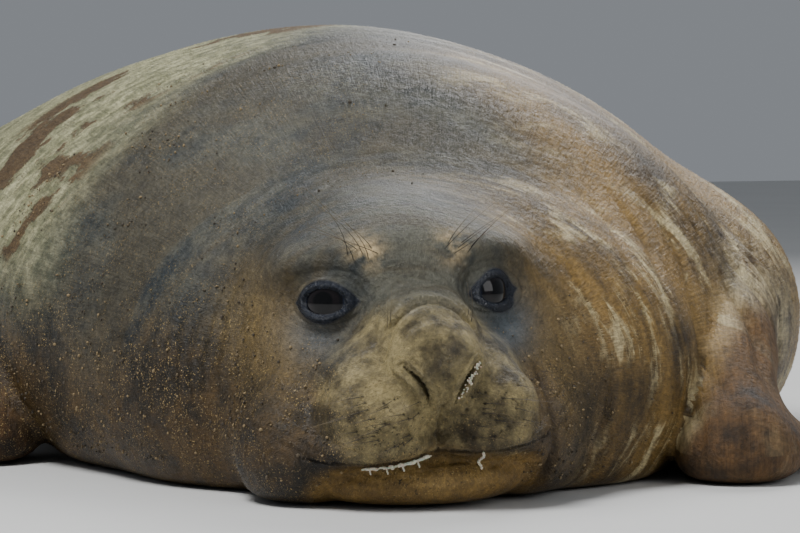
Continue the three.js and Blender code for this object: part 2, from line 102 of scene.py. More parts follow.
def along(p):
    """Distance along the spine, and offset to the seal's left."""
    q = p[..., :2] - (SPINE_X, 0)
    s, n = q @ axis, q @ side
    r = p[..., :2] - bend_centre
    far = s > STRAIGHT
    angle = np.arctan2(r @ axis, r @ side)
    return (np.where(far, STRAIGHT + angle * BEND, s),
            np.where(far, np.linalg.norm(r, axis=-1) - BEND, n))


def spine(s, n=0.0, z=0.0):
    if s <= STRAIGHT:
        q = np.array([SPINE_X, 0]) + s * axis + n * side
    else:
        a = (s - STRAIGHT) / BEND
        q = bend_centre + (BEND + n) * (math.cos(a) * side + math.sin(a) * axis)
    return np.array([q[0], q[1], z])


def section(s, column):
    at, value = SECTIONS[:, 0], SECTIONS[:, column]
    slope = np.empty(len(at))
    slope[1:-1] = (value[2:] - value[:-2]) / (at[2:] - at[:-2])
    slope[0] = (value[1] - value[0]) / (at[1] - at[0])
    slope[-1] = (value[-1] - value[-2]) / (at[-1] - at[-2])
    i = np.clip(np.searchsorted(at, s) - 1, 0, len(at) - 2)
    h = at[i + 1] - at[i]
    t = np.clip((s - at[i]) / h, 0, 1)
    return ((2 * t ** 3 - 3 * t ** 2 + 1) * value[i] + (t ** 3 - 2 * t ** 2 + t) * h * slope[i]
            + (3 * t ** 2 - 2 * t ** 3) * value[i + 1] + (t ** 3 - t ** 2) * h * slope[i + 1])


def soft_power(v, power):
    zero = 0.05 ** (power / 2)
    return ((v * v + 0.05) ** (power / 2) - zero) / (1.05 ** (power / 2) - zero)


def torso(p):
    s, n = along(p)
    half, top = section(s, 1), section(s, 2)
    middle = 0.36 * top
    z, x = p[..., 2] - middle, n / half
    upper = (soft_power(x, 1.6) + soft_power(z / (top - middle), 1.6)) ** (1 / 1.6)
    lower = (soft_power(x, 2.5) + soft_power(z / (middle * 1.32), 2.5)) ** (1 / 2.5)
    f = np.where(z > 0, upper, lower)
    reach = np.hypot(n, z) / np.maximum(f, 1e-6)
    d = (f - 1) * np.minimum(reach, 0.45) * 0.9
    return smooth_max(smooth_max(d, s - 2.4, 0.1), 0.16 - s, 0.22)


# rows: the seal's left, forward, up
tilt = Matrix.Rotation(HEAD_YAW, 3, "Z") @ Matrix.Rotation(-HEAD_ROLL, 3, "Y")
head_left, head_up = np.array(tilt @ Vector((1, 0, 0))), np.array(tilt @ Vector((0, 0, 1)))
head_axes = np.stack([head_left, np.cross(head_left, head_up), head_up])


def to_head(p):
    return (p - (0, 0, EYE_LEVEL)) @ head_axes.T * 100


def from_head(q):
    return np.asarray(q) @ head_axes / 100 + (0, 0, EYE_LEVEL)


def eye_frame(left):
    """Centre of the eyeball and axes across, over and out, in head measures."""
    out = unit((left * math.sin(EYE_TURN), math.cos(EYE_TURN), 0.08))
    across = unit(np.cross(out, (0, 0, 1)))
    centre = np.array(EYE_AT) * (left, 1, 1) - out * EYE_SINK
    return centre, np.stack([across, np.cross(across, out), out])


def face(q):
    d = ellipsoid(q, (0, -9, -1), (12, 13, 10))
    d = smooth_min(d, ellipsoid(q, (0, -4.5, -8), (12.8, 9.5, 9)), 4)
    d = smooth_min(d, ellipsoid(q, (0, 3.2, -7.4), (8.8, 6.6, 5.8)), 2.5)
    d = smooth_min(d, ellipsoid(q, (0, 2.6, -2), (4.9, 6.4, 3.2)), 2)
    for left in (-1, 1):
        d = smooth_min(d, ellipsoid(q, (left * 4.7, 6, -9.5), (4.9, 4.3, 4.1)), 0.9)
        d = smooth_min(d, ellipsoid(q, (left * 4.5, 5, -12.1), (5.8, 4.6, 2.3)), 0.8)
        d = smooth_min(d, ellipsoid(q, (left * 9.6, -2.8, -12.6), (6, 8, 6.3)), 3)
        d = smooth_min(d, ellipsoid(q, (left * 6.2, -3.6, 3), (5, 4.4, 1.9)), 3.5)
    d = smooth_min(d, ellipsoid(q, (0, 7.7, -5.4), (4.4, 4.3, 4.5)), 0.9)
    d = smooth_min(d, ellipsoid(q, (0, 1.6, -15.6), (9.4, 7, 3.2)), 0.8)
    for left in (-1, 1):
        c, e = eye_frame(left)
        d = smooth_max(d, -ellipsoid(q, c + e[2] * 4, (4.2, 3, 2.4), e), 2.4)
        d = smooth_min(d, ellipsoid(q, c, (3.5, 3.4, 3.4), e), 0.7)
    return d


FORE = [
    dict(left=1, shoulder=(0.285, 0.42, 0.14), wrist=(0.303, 0.175, 0.045), turn=math.radians(22),
         digits=(0.25, 0.245, 0.225, 0.2, 0.17)),
    dict(left=-1, shoulder=(-0.33, 0.46, 0.13), wrist=(-0.42, 0.36, 0.04), turn=math.radians(-30),
         digits=(0.17, 0.2, 0.225, 0.245, 0.25))]
FORE_SPREAD, HIND_SPREAD, HIND_START = math.radians(32), math.radians(40), 2.3
HIND_DIGITS = (0.4, 0.34, 0.31, 0.33, 0.3)


def digit_tip(base, heading, lengths, spread, i, part=1.0):
    angle = heading + spread * (i / (len(lengths) - 1) - 0.5)
    return np.array([base[0] + lengths[i] * part * math.sin(angle),
                     base[1] + lengths[i] * part * math.cos(angle), base[2]])


def fan(p, base, heading, lengths, spread, radii, flat, web):
    q = np.stack([p[..., 0], p[..., 1], base[2] + (p[..., 2] - base[2]) / flat], -1)
    d = None
    for i in range(len(lengths)):
        one = round_cone(q, base, digit_tip(base, heading, lengths, spread, i), *radii)
        d = one if d is None else smooth_min(d, one, web)
    return d


def hand_base(limb):
    return (limb["wrist"][0], limb["wrist"][1], 0.024)


def foreflipper(p, limb):
    arm = round_cone(p, limb["shoulder"], limb["wrist"], 0.08, 0.037)
    hand = fan(p, hand_base(limb), limb["turn"], limb["digits"], FORE_SPREAD, (0.03, 0.014), 0.6, 0.03)
    return smooth_min(arm, hand, 0.075)


def hindflipper(p, left):
    base = spine(HIND_START, left * 0.045, 0.045)
    heading = -(HEADING + (HIND_START - STRAIGHT) / BEND) + left * math.radians(13)
    digits = HIND_DIGITS[::-1] if left > 0 else HIND_DIGITS
    foot = fan(p, base, heading, digits, HIND_SPREAD, (0.05, 0.017), 0.62, 0.035)
    return smooth_max(foot, 0.0008 - left * along(p)[1], 0.004)


def trunk(p):
    d = torso(p)
    d = smooth_min(d, ellipsoid(p, (-0.01, 0.25, 0.1), (0.285, 0.24, 0.2)), 0.05)
    d = smooth_min(d, ellipsoid(p, (-0.02, 0.4, 0.12), (0.34, 0.24, 0.25)), 0.05)
    return smooth_min(d, ellipsoid(p, (0.3, 0.64, 0.12), (0.1, 0.22, 0.12)), 0.08)


def limbs(p):
    d = round_cone(p, spine(2.34, 0, 0.07), spine(2.52, 0, 0.075), 0.036, 0.016)
    for limb in FORE:
        d = np.minimum(d, foreflipper(p, limb))
    for left in (-1, 1):
        d = np.minimum(d, hindflipper(p, left))
    return d


def seal(p):
    d = trunk(p)
    near = np.linalg.norm(p - (0, 0, EYE_LEVEL), axis=-1) < 0.45
    if near.any():
        d[near] = smooth_min(d[near], face(to_head(p[near])) / 100, 0.042)
    d = smooth_min(d, limbs(p), 0.014)
    return smooth_max(d, -p[..., 2], 0.012) + COAT_DEPTH


def gradient(p, e=4e-4):
    return np.stack([(seal(p + e * k) - seal(p - e * k)) / (2 * e) for k in np.eye(3)], -1)


def settle(p, rounds):
    for _ in range(rounds):
        g = gradient(p)
        p = p - np.clip(seal(p), -0.01, 0.01)[:, None] * g / np.maximum((g * g).sum(1), 0.05)[:, None]
    return p


def surface(cell, low, high):
    """Points and quads where the field crosses zero on an even grid."""
    lines = [np.arange(low[k], high[k] + cell, cell) for k in range(3)]
    slabs = [np.meshgrid(lines[0][i:i + 24], lines[1], lines[2], indexing="ij")
             for i in range(0, len(lines[0]), 24)]
    v = np.concatenate([seal(np.stack(slab, -1)) for slab in slabs])
    total = np.zeros(tuple(n - 1 for n in v.shape) + (3,))
    count = np.zeros(total.shape[:3])
    for dim in range(3):
        for corner in range(4):
            a = [0, 0, 0]
            a[(dim + 1) % 3], a[(dim + 2) % 3] = corner & 1, corner >> 1
            b = list(a)
            b[dim] = 1
            va = v[tuple(slice(o, n - 1 + o) for o, n in zip(a, v.shape))]
            vb = v[tuple(slice(o, n - 1 + o) for o, n in zip(b, v.shape))]
            cross = (va < 0) != (vb < 0)
            t = np.where(cross, va / np.where(cross, va - vb, 1), 0)
            for k in range(3):
                shape = [1, 1, 1]
                shape[k] = -1
                place = lines[k][a[k]:len(lines[k]) - 1 + a[k]].reshape(shape)
                total[..., k] += np.where(cross, place + (t * cell if k == dim else 0), 0)
            count += cross
    has = count > 0
    index = -np.ones(has.shape, int)
    index[has] = np.arange(has.sum())
    quads = []
    for dim in range(3):
        u, w = (dim + 1) % 3, (dim + 2) % 3
        first, second = [slice(None)] * 3, [slice(None)] * 3
        first[dim], second[dim] = slice(0, -1), slice(1, None)
        inside = v < 0
        c = np.argwhere(inside[tuple(first)] != inside[tuple(second)])
        leaving = inside[tuple(first)][tuple(c.T)]
        du, dw = np.eye(3, dtype=int)[u], np.eye(3, dtype=int)[w]
        ring = np.stack([index[tuple((c - s).T)] for s in (du + dw, dw, 0 * du, du)], 1)
        ring[~leaving] = ring[~leaving][:, ::-1]
        quads.append(ring)
    return total[has] / count[has][:, None], np.concatenate(quads)


def step(v, low, high):
    t = np.clip((v - low) / (high - low), 0, 1)
    return t * t * (3 - 2 * t)


def span(v, start, full, fading, gone):
    """0 up to start, 1 from full to fading, 0 again from gone on."""
    return step(v, start, full) * step(-v, -gone, -fading)


def ripple(p, size, seed):
    """Smooth irregular wave between about -1 and 1."""
    rng = np.random.default_rng(seed)
    ways = unit(rng.normal(size=(7, 3)))
    lengths = size * rng.uniform(0.7, 1.6, 7)
    return np.sin(2 * math.pi * (p @ (ways / lengths[:, None]).T) + rng.uniform(0, 6, 7)).sum(-1) / 3.2


def mouth_height(turn):
    across = np.abs(turn) / math.radians(62)
    return -13.5 + 0.9 * across ** 3 + 0.65 * hump(turn / 0.3) + 0.5 * turn


def mouth_line(q):
    """How much a point lies in the line of the mouth, 0 to 1, and its signed height over it."""
    turn = np.arctan2(q[:, 0], q[:, 1])
    over = q[:, 2] - mouth_height(turn)
    near = (np.abs(turn) < MOUTH_TURN) & (q[:, 1] > 1)
    fade = np.sqrt(np.clip(1 - (turn / MOUTH_TURN) ** 2, 0, 1))
    return np.where(near, step(-np.abs(over), -0.26, -0.06) * fade, 0), over


def from_slit(q, left, t):
    """Distance from a point along the slit of a nostril: 0 its outer end, 1 its inner one."""
    u = left * (3.2 - 2.1 * t - 0.35 * math.sin(math.pi * t))
    return np.hypot(q[:, 0] - u, q[:, 2] + 5.3 + 3.4 * t)


def nostrils(q):
    best = np.zeros(len(q))
    for left in (-1, 1):
        for t in np.linspace(0, 1, 17):
            half = 0.1 + 0.27 * math.sin(math.pi * min(1, t * 1.04))
            d = from_slit(q, left, t)
            best = np.maximum(best, step(-d, -half, -half * 0.35))
    return best * (q[:, 1] > 5)


PORES = [(left * (2.3 + 0.95 * column + 0.45 * math.sin(5.1 * row + 2.3 * column + left)),
          -8.3 - 0.85 * row + 0.10 * column + 0.3 * math.sin(3.7 * row - 4.9 * column))
         for left in (-1, 1) for row in range(5) for column in range(6)]


def pores(q):
    d = np.full(len(q), 9.0)
    for u, w in PORES:
        d = np.minimum(d, np.hypot(q[:, 0] - u, q[:, 2] - w))
    return np.where(q[:, 1] > 2, step(-d, -0.18, -0.05), 0)


def eye_zone(q, left):
    """Distance out from the eye's middle, 1 at the lids' edge, and the place in the eyeball's axes."""
    c, e = eye_frame(left)
    local = (q - c) @ e.T
    high = np.where(local[:, 1] > 0, LIDS_UP, LIDS_DOWN)
    return np.hypot(local[:, 0] / LIDS_WIDE, local[:, 1] / high), local


def relief(p, q):
    """Height of folds, creases and pores over the plain form, in metres."""
    head = step(-np.linalg.norm(p - (0, 0.05, 0.15), axis=1), -0.30, -0.20)
    s, n = along(p)
    z = p[:, 2]
    from_face = np.linalg.norm(p - (0.0, 0.10, 0.10), axis=1)
    folds = -hump(np.sin(math.pi * from_face / 0.046 + 1.1 * ripple(p, 0.16, 3)) / 0.34)
    flank = step(n, 0.09, 0.17) * step(-s, -0.62, -0.30) * span(z, 0.012, 0.04, 0.20, 0.30)
    h = 0.0065 * folds * flank * (0.65 + 0.35 * ripple(p, 0.11, 4))
    fine = np.sin(2 * math.pi * from_face / 0.012 + 2.5 * ripple(p, 0.07, 5))
    fine *= step(ripple(p, 0.09, 9), -0.2, 0.7)
    h += 0.0007 * fine * span(from_face, 0.12, 0.17, 0.24, 0.36)
    h += 0.0035 * ripple(p, 0.30, 6) * step(s, 0.25, 0.6) * step(z, 0.02, 0.06)
    neck = np.sin(2 * math.pi * s / 0.085 + 1.2 * ripple(p, 0.35, 7))
    h += 0.0012 * neck * span(s, 0.18, 0.30, 0.50, 0.70) * step(z, 0.02, 0.05)
    u, v, w = q.T
    jowl = 11.6 - 0.045 * (w + 11.2) ** 2
    h -= head * 0.0060 * hump((u - jowl) / 0.55) * span(w, -18, -16, -8, -5.5) * (v > -9)
    h -= head * 0.0025 * hump((u + jowl - 0.6) / 0.7) * span(w, -17, -15, -9, -7) * (v > -9)
    for arch, depth in ((0.0, 0.0052), (1.0, 0.0024), (1.9, 0.0018), (2.8, 0.0012)):
        line = w - arch + 0.17 * u * u
        h -= head * depth * hump(line / 0.28) * step(-np.abs(u), -4.4, -3.2) * step(v, 1, 4)
    for fold in (-14.0, -15.4, -16.4):
        h -= head * 0.0009 * hump((w - fold - 0.03 * u * u) / 0.22) * (v > 0)
    for left in (-1, 1):
        out, local = eye_zone(q, left)
        near = (local[:, 2] > 0.5) & (np.linalg.norm(local, axis=1) < 7)
        for ring, depth in ((1.62, 0.0011), (2.05, 0.0009), (2.5, 0.0006)):
            h -= near * depth * hump((out - ring - 0.06 * ripple(p, 0.05, 8)) / 0.09)
    mouth, over = mouth_line(q)
    lip = (v > 2) & (np.abs(np.arctan2(u, v)) < 1.1)
    h += np.where(lip, 0.0020 * hump((over - 0.75) / 0.5), 0) * head
    h -= 0.0085 * mouth + 0.0110 * nostrils(q) + 0.0011 * pores(q)
    h += 0.0016 * step(nostril_rim(q), 0.3, 1)
    h -= 0.0035 * hump(u / 0.16) * span(w, -13.0, -12.2, -9.2, -8.4) * (v > 5)
    return h


def nostril_rim(q):
    """A raised rim round each nostril."""
    best = np.full(len(q), 9.0)
    for left in (-1, 1):
        for t in np.linspace(0, 1, 9):
            best = np.minimum(best, from_slit(q, left, t))
    return hump((best - 0.62) / 0.25) * (q[:, 1] > 5)


def open_lids(p):
    """Pushes the skin in the opening of the lids under the eyeball, with a rounded rim."""
    q = to_head(p)
    for left in (-1, 1):
        c, e = eye_frame(left)
        out, local = eye_zone(q, left)
        front = (local[:, 2] > 0) & (np.linalg.norm(local, axis=1) < 4.4)
        inside = front & (out < 1.0)
        length = np.linalg.norm(local, axis=1)
        goal = np.where(out < 0.93, EYE_RADIUS - 0.25, EYE_RADIUS + 0.02)
        scale = np.where(inside, goal / np.maximum(length, 1e-6), 1)
        lid = front & (out >= 1.0) & (out < 1.5)
        rim = EYE_RADIUS + 0.34 + 0.10 * np.sin(np.clip((out - 1) / 0.5, 0, 1) * math.pi)
        blend = 1 - step(out, 1.15, 1.5)
        scale = np.where(lid, 1 + (rim / np.maximum(length, 1e-6) - 1) * blend, scale)
        q = np.where((inside | lid)[:, None], c + (local * scale[:, None]) @ e, q)
    return from_head(q)


# the plan frame turned into the row frame, fitted on the left eye of the solids
TO_ROW = np.array(Matrix.Rotation(math.radians(-30), 3, "Z"))
low, high = (np.array(v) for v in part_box("eye_left"))
row_shift = (low + high) / 2 - TO_ROW @ from_head(eye_frame(1)[0])
row_shift[2] = 0


def in_row(p):
    return np.asarray(p) @ TO_ROW.T + row_shift


def new_mesh(name, points, faces):
    mesh = bpy.data.meshes.new(name)
    faces = np.asarray(faces)
    mesh.vertices.add(len(points))
    mesh.vertices.foreach_set("co", np.asarray(points, np.float32).ravel())
    mesh.loops.add(faces.size)
    mesh.loops.foreach_set("vertex_index", faces.ravel().astype(np.int32))
    mesh.polygons.add(len(faces))
    mesh.polygons.foreach_set("loop_start", np.arange(0, faces.size, faces.shape[1], dtype=np.int32))
    mesh.update(calc_edges=True)
    mesh.validate()
    return mesh


def carry(mesh, name, values):
    """Keeps one number for each point of the mesh, for its material to read."""
    layer = mesh.attributes.new(name, "FLOAT", "POINT")
    layer.data.foreach_set("value", np.asarray(values, np.float32))


def lay_out(mesh, uv):
    layer = mesh.uv_layers.new(name="OFBake")
    layer.data.foreach_set("uv", uv.astype(np.float32).ravel())


def round_stone(make, **settings):
    """Points and triangles of a ball of radius 1."""
    ball = bmesh.new()
    make(ball, radius=1, **settings)
    bmesh.ops.triangulate(ball, faces=ball.faces)
    ball.verts.index_update()
    points = np.array([v.co for v in ball.verts])
    faces = np.array([[v.index for v in f.verts] for f in ball.faces])
    ball.free()
    return points, faces


def show(name, mesh, material, smooth=True):
    """Puts a mesh in the scene as one piece riding on the seal."""
    mesh.materials.append(material)
    mesh.polygons.foreach_set("use_smooth", np.full(len(mesh.polygons), smooth))
    piece = bpy.data.objects.new(name, mesh)
    bpy.context.collection.objects.link(piece)
    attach(piece, "root")
    return piece


points, quads = surface(0.012, (-1.42, -0.2, -0.02), (0.56, 2.62, 0.46))
points = settle(points, 2)
skin_mesh = new_mesh("skin", points, quads)
work = bmesh.new()
work.from_mesh(skin_mesh)


def refine(wanted):
    """Splits the edges of the faces whose middle is wanted, then settles the new points."""
    centres = np.array([f.calc_center_median() for f in work.faces])
    chosen = wanted(centres, to_head(centres))
    edges = {e for f, yes in zip(work.faces, chosen) if yes for e in f.edges}
    bmesh.ops.subdivide_edges(work, edges=list(edges), cuts=1, use_grid_fill=True)
    co = np.array([v.co for v in work.verts])
    near = wanted(co, to_head(co))
    co[near] = settle(co[near], 1)
    for vertex, place in zip(work.verts, co):
        vertex.co = place


def near_grooves(p, q):
    mouth, over = mouth_line(q)
    slit = (np.abs(over) < 0.5) & (q[:, 1] > 1) & (np.abs(np.arctan2(q[:, 0], q[:, 1])) < math.radians(70))
    nose = (np.abs(q[:, 0]) < 4.0) & (q[:, 2] < -4.5) & (q[:, 2] > -9.3) & (q[:, 1] > 5)
    lids = np.zeros(len(q), bool)
    for left in (-1, 1):
        out, local = eye_zone(q, left)
        lids |= (out > 0.75) & (out < 1.6) & (local[:, 2] > 0) & (np.linalg.norm(local, axis=1) < 4.6)
    return slit | nose | lids


refine(lambda p, q: (p[:, 1] < 0.55) | (limbs(p) < 0.02))
refine(lambda p, q: (np.linalg.norm(p - (0.02, 0.02, 0.13), axis=1) < 0.22)
       & (p[:, 1] < 0.16) & (p[:, 2] > 0.003))
refine(lambda p, q: (np.abs(q[:, 0]) < 12.5) & (q[:, 1] > -4) & (q[:, 2] > -17) & (q[:, 2] < 6))
refine(near_grooves)
bmesh.ops.triangulate(work, faces=[f for f in work.faces if len(f.verts) > 4])
work.to_mesh(skin_mesh)
work.free()
points = np.empty(len(skin_mesh.vertices) * 3, np.float32)
skin_mesh.vertices.foreach_get("co", points)
points = points.reshape(-1, 3).astype(float)
plain = points.copy()
outward = unit(gradient(plain))
lifted = plain + outward * (relief(plain, to_head(plain)) * step(plain[:, 2], 0.001, 0.012))[:, None]
points = open_lids(lifted)
points[:, 2] = np.maximum(points[:, 2], COAT_DEPTH)


def marks(p):
    """Where each marking of the coat lies, and where sheen and shade are painted, 0 to 1, from the place on
    the plain form.
    """
    q = to_head(p)
    s, n = along(p)
    u, v, w = q.T
    z = p[:, 2]
    wob = ripple(p, 0.22, 11)
    head = step(-np.linalg.norm(p - (0.0, 0.05, 0.15), axis=1), -0.26, -0.20)
    out = {}
    # painted sheen: the top of the back made lighter, a painted reflection of the sky
    out["pale"] = (step(s - n + 0.06 * wob, 0.56, 0.80) * step(-n + 0.05 * wob, -0.16, 0.06)
                   * step(z + 0.03 * wob, 0.12, 0.24))
    out["olive"] = (step(n + 0.06 * wob, -0.02, 0.10) * step(z + 0.04 * wob, 0.16, 0.28)
                    * step(-n, -0.34, -0.22) * step(-s, -0.60, -0.42))
    out["brown"] = step(n + 0.03 * wob, 0.03, 0.20) * (1 - head * step(v, -4, 1))
    out["muddy"] = out["pale"] * step(-s, -1.10, -0.75)
    out["streaked"] = out["brown"] * step(-s, -0.90, -0.55)
    out["low"] = step(-z + 0.03 * wob, -0.19, -0.07) * step(-n, -0.26, -0.08)
    out["grit"] = step(-n, -0.06, 0.10) * step(-s, -0.62, -0.45) * (1 - head * step(v, -6, -1))
    out["temple"] = head * np.maximum(hump((u + 11.5) / 3.0, (w + 2.5) / 5.0),
                                      0.7 * hump((u - 12.5) / 3.5, (w + 5.0) / 7.0))
    out["muzzle"] = step(-ellipsoid(q, (0, 6, -8.4), (8.8, 8.5, 7.6)), -1.8, 0.6)
    out["chin"] = step(-ellipsoid(q, (0, 2, -16.0), (10.5, 9.5, 4.2)), -1.2, 0.8)
    ring, tear = np.zeros(len(p)), np.zeros(len(p))
    for left in (-1, 1):
        zone, local = eye_zone(q, left)
        front = (local[:, 2] > 0) & (np.linalg.norm(local, axis=1) < 8)
        almond = np.abs(local[:, 1]) / 2.0 + (local[:, 0] / 3.2) ** 2 + 0.05 * ripple(p, 0.05, 12)
        dark_lids = np.maximum(step(-almond, -1.08, -0.92), step(-zone, -1.30, -1.18))
        ring = np.maximum(ring, np.where(front, dark_lids, 0))
        soft = hump((u - left * 8.8) / 2.6, (w + 2.9) / 2.5)
        tear = np.maximum(tear, soft * (v > -5) * (1.0 if left > 0 else 0.65))
    out["eye_ring"], out["tear"] = ring, tear
    out["brow"] = head * np.maximum(*(hump((u - x) / 1.4, (w - 4.2) / 1.2) for x in (-3.9, 3.9)))
    # painted shade: near black in the mouth line and the nostrils, with a fainter painted shadow in a band
    # along the lips
    mouth, over = mouth_line(q)
    lip = step(-np.abs(over + 0.15), -0.75, -0.25) * (np.abs(np.arctan2(u, v)) < 1.1) * (v > 1)
    out["dark"] = np.clip(mouth + 0.45 * lip + nostrils(q), 0, 1)
    out["pore"] = pores(q)
    # painted shade: darkening along the jowl crease
    jowl = hump((u - 11.6 + 0.045 * (w + 11.2) ** 2) / 0.7)
    out["painted_crease_shade"] = np.clip(head * jowl * (v > -9) * span(w, -18, -16, -8, -5.5), 0, 1)
    out["flipper"] = step(trunk(p) - limbs(p), 0.0, 0.03)
    out["sheen"] = hump((n - 0.37) / 0.05, (z - 0.13) / 0.07) * step(-s, -0.7, -0.5) * (1 - out["flipper"])
    out["blotch"] = hump((n - 0.22) / 0.07, (s - 0.45) / 0.14) * (z > 0.2)
    return out


MARKS = list(marks(points[:4]))


def paint(mesh, places):
    for name, value in marks(places).items():
        carry(mesh, name, value)


# an unwrap of the skin: the trunk opened along the belly with the head enlarged, the limbs apart
LIMB_MIDDLES = [(0.37, 0.30), (-0.47, 0.46), tuple(spine(2.5, 0.12)[:2]), tuple(spine(2.5, -0.12)[:2])]


def region(p, up):
    """0 for the trunk and head, then two numbers for each limb: its upper and under side."""
    fields = [foreflipper(p, FORE[0]), foreflipper(p, FORE[1]), hindflipper(p, 1), hindflipper(p, -1)]
    nearest = np.argmin(fields, axis=0)
    on_limb = np.min(fields, axis=0) < trunk(p) - 0.002
    return np.where(on_limb, 1 + 2 * nearest + (up < 0), 0)


def unwrap(p, place, centre=None):
    s, n = along(p)
    z = p[:, 2] - 0.12
    around = np.arctan2(n, z) / (2 * math.pi)
    if centre is not None:
        middle = np.arctan2(along(centre)[1], centre[:, 2] - 0.12) / (2 * math.pi)
        around += np.round(middle - around)
    reach = s + 0.6 * np.hypot(n, z)
    down = np.interp(reach, (-0.13, 0.13, 0.32, 2.62), (0, 0.42, 0.56, 1.0))
    uv = np.stack([0.5 + 0.98 * np.clip(around, -0.508, 0.508), 0.31 + 0.68 * down], 1)
    for k, (x, y) in enumerate(LIMB_MIDDLES):
        for under in (0, 1):
            chosen = place == 1 + 2 * k + under
            corner = (0.125 + 0.25 * k, 0.225 - 0.15 * under)
            uv[chosen] = np.clip((p[chosen, :2] - (x, y)) * 0.30, -0.12, 0.12) * (1, 0.58) + corner
    return uv


corners = np.empty(len(skin_mesh.loops), np.int32)
skin_mesh.loops.foreach_get("vertex_index", corners)
sizes = np.empty(len(skin_mesh.polygons), np.int32)
skin_mesh.polygons.foreach_get("loop_total", sizes)
owner = np.repeat(np.arange(len(sizes)), sizes)
centres = np.stack([np.bincount(owner, plain[corners][:, k]) for k in range(3)], 1) / sizes[:, None]
ups = np.bincount(owner, outward[corners][:, 2])
uv = unwrap(plain[corners], region(centres, ups)[owner], centres[owner])
lay_out(skin_mesh, uv)
skin_mesh.vertices.foreach_set("co", in_row(points).astype(np.float32).ravel())
skin_mesh.update()
paint(skin_mesh, plain)


def srgb(*rgb):
    return tuple(((v / 255 + 0.055) / 1.055) ** 2.4 for v in rgb) + (1.0,)


def wire(tree, made, **sockets):
    """Fills a node's inputs, each with a value or another node's output; i0 is its first input."""
    for name, value in sockets.items():
        key = int(name[1:]) if name[1:].isdigit() else name.replace("_", " ")
        if isinstance(value, bpy.types.NodeSocket):
            tree.links.new(value, made.inputs[key])
        else:
            made.inputs[key].default_value = value


def add(tree, kind, settings=None, **sockets):
    made = tree.nodes.new("ShaderNode" + kind)
    for name, value in (settings or {}).items():
        setattr(made, name, value)
    wire(tree, made, **sockets)
    return made


def noise(tree, where, scale, detail=4.0, rough=0.55, warp=0.0):
    made = add(tree, "TexNoise", Vector=where, Scale=scale, Detail=detail, Roughness=rough, Distortion=warp)
    return made.outputs["Fac"]


def window(tree, value, low, high):
    """0 below low, 1 above high, smooth between."""
    settings = {"interpolation_type": "SMOOTHSTEP"}
    return add(tree, "MapRange", settings, Value=value, From_Min=low, From_Max=high).outputs["Result"]


def times(tree, a, b):
    return add(tree, "Math", {"operation": "MULTIPLY"}, i0=a, i1=b).outputs[0]


def plus(tree, a, b):
    return add(tree, "Math", {"operation": "ADD", "use_clamp": False}, i0=a, i1=b).outputs[0]


def over(tree, amount, under, above, way="MIX"):
    """One colour laid over another."""
    made = add(tree, "Mix", {"data_type": "RGBA", "blend_type": way}, i0=amount, i6=under, i7=above)
    return made.outputs[2]


def carried(tree, name):
    """The number of that name that the mesh carries at each point."""
    return add(tree, "Attribute", {"attribute_name": name}).outputs["Fac"]


def place_of(tree):
    return add(tree, "TexCoord").outputs["Object"]


def grey(tree, value):
    return add(tree, "CombineColor", i0=value, i1=value, i2=value).outputs[0]


def new_material(name):
    """A material, its node tree and its shader."""
    material = bpy.data.materials.new(name)
    material.use_nodes = True
    return material, material.node_tree, material.node_tree.nodes["Principled BSDF"]


def new_group(name, inputs, outputs):
    group = bpy.data.node_groups.new(name, "ShaderNodeTree")
    for socket, kind in inputs:
        group.interface.new_socket(name=socket, in_out="INPUT", socket_type="NodeSocket" + kind)
    for socket, kind in outputs:
        group.interface.new_socket(name=socket, in_out="OUTPUT", socket_type="NodeSocket" + kind)
    return group, group.nodes.new("NodeGroupInput").outputs, group.nodes.new("NodeGroupOutput").inputs


coat_marks_and_painted_light, given, result = new_group(
    "coat_marks_and_painted_light", [("Place", "Vector"), ("Lie", "Vector")] + [(name, "Float") for name in MARKS],
    [("Color", "Color"), ("Roughness", "Float"), ("Height", "Float")])
g = coat_marks_and_painted_light
place, lie = given["Place"], given["Lie"]


def along_hair(scale, detail, rough, warp):
    """Noise stretched along or across the lie of the hair."""
    return noise(g, add(g, "Mapping", Vector=lie, Scale=scale).outputs[0], 1.0, detail, rough, warp)


def between(amount, dark, light):
    return over(g, amount, srgb(*dark), srgb(*light))


def mark(name, strength=1.0):
    return times(g, given[name], strength)


broad, middle, small = noise(g, place, 3.2, 5), noise(g, place, 13, 6), noise(g, place, 55, 5)
fine = noise(g, place, 240, 3)
mottle = plus(g, times(g, broad, 0.4), plus(g, times(g, middle, 0.25), times(g, small, 0.35)))
rings = along_hair((16, 120, 1), 6, 0.66, 0.6)
bands = along_hair((7, 38, 1), 5, 0.6, 0.5)
fibres = along_hair((900, 190, 1), 3, 0.6, 0.4)
specks, grains = noise(g, place, 620, 2, 0.5, 0.3), noise(g, place, 410, 2, 0.5, 0.3)
clumps = window(g, noise(g, place, 24, 5, 0.65), 0.36, 0.62)
ragged = plus(g, times(g, middle, 0.35), times(g, plus(g, small, times(g, fine, 0.5)), 0.14))
patches = window(g, plus(g, broad, ragged), 0.80, 0.83)
mud = times(g, patches, window(g, given["muddy"], 0.45, 0.8))
flank = window(g, plus(g, times(g, bands, 0.6), times(g, mottle, 0.4)), 0.38, 0.60)
streaks = times(g, window(g, rings, 0.50, 0.60), times(g, given["streaked"], window(g, middle, 0.42, 0.58)))
pad = window(g, plus(g, times(g, middle, 0.5), times(g, small, 0.5)), 0.36, 0.62)
glints = times(g, given["sheen"], window(g, small, 0.30, 0.62))
sandy = times(g, clumps, plus(g, mark("grit", 0.5), mark("low", 0.9)))
light_grain = times(g, window(g, specks, 0.60, 0.67), sandy)
dark_grain = times(g, window(g, grains, 0.61, 0.67), sandy)

